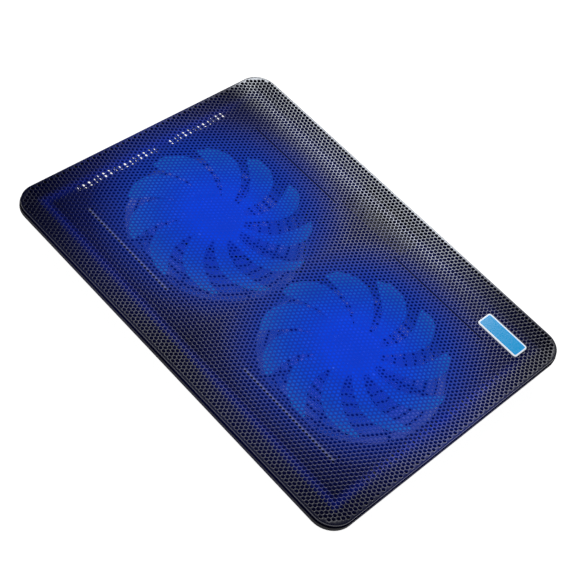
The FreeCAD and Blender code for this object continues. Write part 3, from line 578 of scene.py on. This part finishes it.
def outline(inset):
    """Points round the panel's outline, set in by `inset`."""
    radius = PANEL_CORNER - inset
    half_x = PANEL_HALF_X - PANEL_CORNER
    half_y = PANEL_HALF_Y - PANEL_CORNER
    points = []
    corners = [(half_x, half_y, 0), (-half_x, half_y, 90), (-half_x, -half_y, 180), (half_x, -half_y, 270)]
    for index, (cx, cy, start) in enumerate(corners):
        for step in range(CORNER_STEPS + 1):
            angle = math.radians(start + 90 * step / CORNER_STEPS)
            points.append((cx + radius * math.cos(angle), cy + radius * math.sin(angle)))
        next_x, next_y, next_start = corners[(index + 1) % len(corners)]
        turn = math.radians(next_start)
        end = (next_x + radius * math.cos(turn), next_y + radius * math.sin(turn))
        last_x, last_y = points[-1]
        steps = round(math.dist((last_x, last_y), end) / HOLE_PITCH)
        for step in range(1, steps):
            share = step / steps
            points.append((last_x + (end[0] - last_x) * share, last_y + (end[1] - last_y) * share))
    return np.array(points)


def inside_outline(x, y, inset):
    """True where a point lies inside the outline set in by `inset`."""
    over_x = np.abs(x) - (PANEL_HALF_X - PANEL_CORNER)
    over_y = np.abs(y) - (PANEL_HALF_Y - PANEL_CORNER)
    corner = np.hypot(np.maximum(over_x, 0), np.maximum(over_y, 0))
    return (corner <= PANEL_CORNER - inset) & (np.maximum(over_x, over_y) <= PANEL_CORNER - inset)


def hole_centres():
    """Centres of all lattice cells near the panel, and which of them hold a hole."""
    row_step = HOLE_PITCH * math.sqrt(3) / 2
    rows = int(PANEL_HALF_Y / row_step) + 2
    columns = int(PANEL_HALF_X / HOLE_PITCH) + 2
    row, column = np.meshgrid(np.arange(-rows, rows + 1), np.arange(-columns, columns + 1), indexing="ij")
    x = ((column + 0.5 * (row % 2)) * HOLE_PITCH).ravel()
    y = (row * row_step).ravel()
    used = np.ones(len(x), bool)
    for corner_x, corner_y in ring_points(CELL_RADIUS, CELL_SIDES):
        used &= inside_outline(x + corner_x, y + corner_y, EDGE_STRIP)
    return np.stack([x, y], 1), used


def ring_points(radius, count):
    """Points spaced evenly on a circle round (0, 0)."""
    angles = [math.radians(CELL_TURN + 360 * k / count) for k in range(count)]
    return [(radius * math.cos(a), radius * math.sin(a)) for a in angles]


def cell_template():
    """One hexagonal cell with its hole: flat points, drops below the face, triangles and outer edges."""
    corners = ring_points(CELL_RADIUS, CELL_SIDES)
    lip = ring_points(HOLE_RADIUS + HOLE_ROUND, HOLE_SIDES)
    bore = ring_points(HOLE_RADIUS, HOLE_SIDES)
    flat = corners + lip + bore + bore + corners
    on_face = [0.0] * (CELL_SIDES + HOLE_SIDES)
    under_face = [PANEL_SHEET] * (HOLE_SIDES + CELL_SIDES)
    drops = on_face + [HOLE_ROUND] * HOLE_SIDES + under_face
    first_lip = CELL_SIDES
    first_top = first_lip + HOLE_SIDES
    first_low = first_top + HOLE_SIDES
    first_foot = first_low + HOLE_SIDES
    triangles = []
    per_side = HOLE_SIDES // CELL_SIDES

    def fan(corner_base, ring_base, flip):
        for k in range(CELL_SIDES):
            here = corner_base + k
            there = corner_base + (k + 1) % CELL_SIDES
            ring = [ring_base + (k * per_side + step) % HOLE_SIDES for step in range(per_side + 1)]
            middle = per_side // 2
            made = [(here, there, ring[middle])]
            made += [(here, ring[s + 1], ring[s]) for s in range(middle)]
            made += [(there, ring[s + 1], ring[s]) for s in range(middle, per_side)]
            triangles.extend([t[::-1] for t in made] if flip else made)

    def band(upper, lower):
        for k in range(HOLE_SIDES):
            after = (k + 1) % HOLE_SIDES
            triangles.append((upper + k, upper + after, lower + after))
            triangles.append((upper + k, lower + after, lower + k))

    fan(0, first_lip, False)
    band(first_lip, first_top)
    band(first_top, first_low)
    fan(first_foot, first_low, True)
    edges = []
    for k in range(CELL_SIDES):
        after = (k + 1) % CELL_SIDES
        edges.append((k, after, first_foot + k, first_foot + after))
    return np.array(flat), np.array(drops), np.array(triangles), np.array(edges)


def mesh_object(name, points, triangles):
    """Object made of triangles, shaded smooth except at sharp edges."""
    mesh = bpy.data.meshes.new(name)
    mesh.vertices.add(len(points))
    mesh.vertices.foreach_set("co", np.asarray(points, np.float32).ravel())
    mesh.loops.add(3 * len(triangles))
    mesh.loops.foreach_set("vertex_index", np.asarray(triangles, np.int32).ravel())
    mesh.polygons.add(len(triangles))
    mesh.polygons.foreach_set("loop_start", np.arange(len(triangles), dtype=np.int32) * 3)
    mesh.update(calc_edges=True)
    mesh.validate()
    mesh.shade_smooth()
    mesh.set_sharp_from_angle(angle=SHARP_EDGE)
    obj = bpy.data.objects.new(name, mesh)
    bpy.context.scene.collection.objects.link(obj)
    return obj


def merged(points, faces):
    """Joins points that lie in the same place."""
    keys = np.round(points / SAME_PLACE).astype(np.int64)
    _, first, index = np.unique(keys, axis=0, return_index=True, return_inverse=True)
    return points[first], index.reshape(-1)[faces]


def outer_edges(edges):
    """Rows of (top, top, foot, foot) whose cell side borders no other cell."""
    sides = np.sort(edges[:, :2], axis=1)
    _, inverse, counts = np.unique(sides, axis=0, return_inverse=True, return_counts=True)
    return edges[counts[inverse.reshape(-1)] == 1]


def pierced_strip(centres):
    """Points, triangles and outer sides of all the cells at the given centres."""
    flat, drops, triangles, edges = cell_template()
    count = len(flat)
    plan = centres[:, None, :] + flat[None, :, :]
    height = dish_height(plan[..., 0], plan[..., 1]) - drops[None, :]
    points = np.concatenate([plan, height[..., None]], axis=2).reshape(-1, 3)
    offset = (np.arange(len(centres)) * count)[:, None, None]
    faces = (triangles[None] + offset).reshape(-1, 3)
    sides = (edges[None] + offset).reshape(-1, 4)
    all_faces = np.concatenate([faces.ravel(), sides.ravel()])
    points, index = merged(points, all_faces)
    faces = index[:faces.size].reshape(-1, 3)
    sides = outer_edges(index[faces.size:].reshape(-1, 4))
    return points, faces, sides


def side_walls(sides, flip):
    """Two triangles under each outer side of a cell."""
    first, second, foot_first, foot_second = sides.T
    walls = np.concatenate([
        np.stack([second, first, foot_first], 1),
        np.stack([second, foot_first, foot_second], 1),
    ])
    return walls[:, ::-1] if flip else walls


def fill_border(loop, zigzag, zigzag_edges, lattice, used):
    """Triangles between the outline and the outermost cells, in plan."""
    points = [Vector(p) for p in loop] + [Vector(p) for p in zigzag]
    count = len(loop)
    edges = [(k, (k + 1) % count) for k in range(count)]
    edges += [(int(a) + count, int(b) + count) for a, b in zigzag_edges]
    made, _, faces, origin, _, _ = geometry.delaunay_2d_cdt(points, edges, [], 0, BORDER_TOLERANCE)
    tree = kdtree.KDTree(len(lattice))
    for index, (x, y) in enumerate(lattice):
        tree.insert((x, y, 0), index)
    tree.balance()
    kept = []
    for face in faces:
        centre = sum((made[k] for k in face), Vector((0, 0))) / 3
        _, nearest, _ = tree.find((centre.x, centre.y, 0))
        if not used[nearest]:
            kept.append([origin[k][0] for k in face])
    kept = np.array(kept)
    plan = np.array([tuple(p) for p in points])
    a, b, c = plan[kept[:, 0]], plan[kept[:, 1]], plan[kept[:, 2]]
    turn = (b[:, 0] - a[:, 0]) * (c[:, 1] - a[:, 1]) - (b[:, 1] - a[:, 1]) * (c[:, 0] - a[:, 0])
    kept[turn < 0] = kept[turn < 0][:, ::-1]
    return plan, kept


def lip_profile():
    """Insets and heights of the loops that round the edge and form the lip."""
    top = PANEL_TOP
    loops = []
    for degrees in (30, 60, 90):
        angle = math.radians(degrees)
        inset = PANEL_EDGE_ROUND * (1 - math.sin(angle))
        loops.append((inset, top - PANEL_EDGE_ROUND * (1 - math.cos(angle))))
    foot = top - LIP_DROP
    loops.append((0.0, foot + LIP_EDGE))
    loops.append((LIP_EDGE, foot))
    loops.append((PANEL_SHEET - LIP_EDGE, foot))
    loops.append((PANEL_SHEET, foot + LIP_EDGE))
    return loops


def make_border(lattice, used):
    """The solid strip along the panel's edge with its turned-down lip."""
    points, _, sides = pierced_strip(lattice[used])
    top_ids, top_edges = np.unique(sides[:, :2], return_inverse=True)
    zigzag = points[top_ids][:, :2]
    zigzag_edges = top_edges.reshape(-1, 2)
    top_loop = outline(PANEL_EDGE_ROUND)
    low_loop = outline(PANEL_SHEET)
    top_plan, top_faces = fill_border(top_loop, zigzag, zigzag_edges, lattice, used)
    low_plan, low_faces = fill_border(low_loop, zigzag, zigzag_edges, lattice, used)
    top_z = dish_height(top_plan[:, 0], top_plan[:, 1])
    low_z = dish_height(low_plan[:, 0], low_plan[:, 1]) - PANEL_SHEET
    stacks = [np.column_stack([top_plan, top_z])]
    for inset, height in lip_profile():
        loop = outline(inset)
        stacks.append(np.column_stack([loop, np.full(len(loop), height)]))
    stacks.append(np.column_stack([low_plan, low_z]))
    starts = np.cumsum([0] + [len(s) for s in stacks])
    count = len(top_loop)
    ring = np.arange(count)
    after = (ring + 1) % count
    triangles = [top_faces, low_faces[:, ::-1] + starts[-2]]
    for upper, lower in zip(starts[:-2], starts[1:-1]):
        triangles.append(np.stack([upper + ring, lower + ring, lower + after], 1))
        triangles.append(np.stack([upper + ring, lower + after, upper + after], 1))
    tops = zigzag_edges + count
    feet = zigzag_edges + count + starts[-2]
    wall = np.concatenate([tops, feet], axis=1)
    triangles.append(side_walls(wall, True))
    return np.concatenate(stacks), np.concatenate(triangles)


def make_panel():
    """The pierced panel, as strips of holed cells and a solid edge."""
    lattice, used = hole_centres()
    centres = lattice[used]
    pieces = []
    limits = np.quantile(centres[:, 1], np.linspace(0, 1, PANEL_STRIPS + 1))
    limits[-1] += HOLE_PITCH
    for index in range(PANEL_STRIPS):
        after_start = centres[:, 1] >= limits[index] - STRIP_TOLERANCE
        before_end = centres[:, 1] < limits[index + 1] - STRIP_TOLERANCE
        points, faces, sides = pierced_strip(centres[after_start & before_end])
        faces = np.concatenate([faces, side_walls(sides, False)])
        pieces.append(mesh_object("mesh_panel_strip_%d" % (index + 1), points, faces))
    points, faces = make_border(lattice, used)
    pieces.append(mesh_object("mesh_panel_edge", points, faces))
    for piece in pieces:
        piece.data.materials.append(MATERIALS["mesh_steel"])
        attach(piece, "pad")
        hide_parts("mesh_panel")


make_panel()


# ---------------------------------------------------------------- floor, light, camera

def area_light(name, place, width, depth, power):
    """White softbox that faces the middle of the pad."""
    data = bpy.data.lights.new(name, "AREA")
    data.shape = "RECTANGLE"
    data.size = width
    data.size_y = depth
    data.energy = power
    lamp = bpy.data.objects.new(name, data)
    lamp.location = place
    lamp.rotation_euler = (Vector(place) - Vector(PAD_MIDDLE)).to_track_quat("Z", "Y").to_euler()
    bpy.context.scene.collection.objects.link(lamp)


def camera_back():
    """Direction from the pad to the camera."""
    azimuth = math.radians(CAMERA_AZIMUTH)
    elevation = math.radians(CAMERA_ELEVATION)
    return Vector((
        math.sin(azimuth) * math.cos(elevation),
        -math.cos(azimuth) * math.cos(elevation),
        math.sin(elevation),
    ))


def mirrored_place(x, y):
    """Place of a softbox that a flat face at (x, y) mirrors into the camera."""
    camera = CAMERA_AIM + camera_back() * CAMERA_DISTANCE
    share = SOFTBOX_HEIGHT / camera.z
    return Vector((x + (x - camera.x) * share, y + (y - camera.y) * share, SOFTBOX_HEIGHT))


def floor_white():
    """White table top, lit from within, with a painted shadow of the pad under its outline and the fans'
    blue light on it under the pad.
    """
    shader = Shader("floor_white")
    tone = shader.ramp(shader.noise(3, 2.0), [(0.0, (0.90, 0.90, 0.90)), (1.0, (0.92, 0.92, 0.92))])
    shader.link(tone, shader.surface.inputs["Base Color"])
    shader.set(Roughness=0.9, Specular_IOR_Level=0.0)
    past_edge = shader.past_box(PANEL_HALF_X, PANEL_HALF_Y)
    # Painted shadow of the pad: the table's own light goes dark inside the pad's outline, with faint
    # bluish and darker bands before it turns white near the edge
    white = shader.ramp(shader.span(past_edge, 0.0, 1.0, *TABLE_SHADE), [
        (0.0, UNLIT),
        (0.25, (0.03, 0.03, 0.08)),
        (0.45, (0.03, 0.03, 0.08)),
        (0.50, (0.015, 0.015, 0.015)),
        (0.67, (0.015, 0.015, 0.015)),
        (0.78, (TABLE_LIGHT, TABLE_LIGHT, TABLE_LIGHT)),
    ])
    blue = shader.ramp(shader.from_fan(TABLE_GLOW_REACH), [
        (0.0, (0.001, 0.010, 0.28)),
        (0.5, (0.001, 0.008, 0.20)),
        (0.8, (0.0, 0.003, 0.09)),
        (1.0, UNLIT),
    ])
    shader.link(shader.add_colours(white, blue), shader.surface.inputs["Emission Color"])
    shader.set(Emission_Strength=1.0)
    return shader.material


def make_floor():
    """The table, as one square."""
    mesh = bpy.data.meshes.new("floor")
    half = TABLE_HALF
    corners = [(-half, -half, 0), (half, -half, 0), (half, half, 0), (-half, half, 0)]
    mesh.from_pydata(corners, [], [(0, 1, 2, 3)])
    floor = bpy.data.objects.new("floor", mesh)
    bpy.context.scene.collection.objects.link(floor)
    mesh.materials.append(floor_white())


def make_world():
    """Faint white light from all round."""
    world = bpy.data.worlds.new("studio")
    bpy.context.scene.world = world
    world.use_nodes = True
    background = world.node_tree.nodes["Background"]
    background.inputs["Color"].default_value = (1, 1, 1, 1)
    background.inputs["Strength"].default_value = SKY_STRENGTH


def make_camera():
    """Camera that looks at the pad from the front right, turned about its own axis."""
    data = bpy.data.cameras.new("camera")
    data.lens = CAMERA_LENS
    data.sensor_width = CAMERA_SENSOR
    camera = bpy.data.objects.new("camera", data)
    back = camera_back()
    turn = back.to_track_quat("Z", "Y").to_matrix().to_4x4()
    roll = Matrix.Rotation(math.radians(CAMERA_ROLL), 4, "Z")
    camera.matrix_world = Matrix.Translation(CAMERA_AIM + back * CAMERA_DISTANCE) @ turn @ roll
    bpy.context.scene.collection.objects.link(camera)
    bpy.context.scene.camera = camera


make_floor()
make_world()
area_light("rear_softbox", mirrored_place(-0.06, 0.20), width=0.8, depth=0.26, power=3.0)
area_light("middle_softbox", mirrored_place(0.01, 0.04), width=0.6, depth=0.42, power=2.4)
area_light("front_fill", (0.6, -1.6, SOFTBOX_HEIGHT), width=1.6, depth=0.8, power=2)
make_camera()
bpy.context.scene.view_settings.view_transform = "Standard"
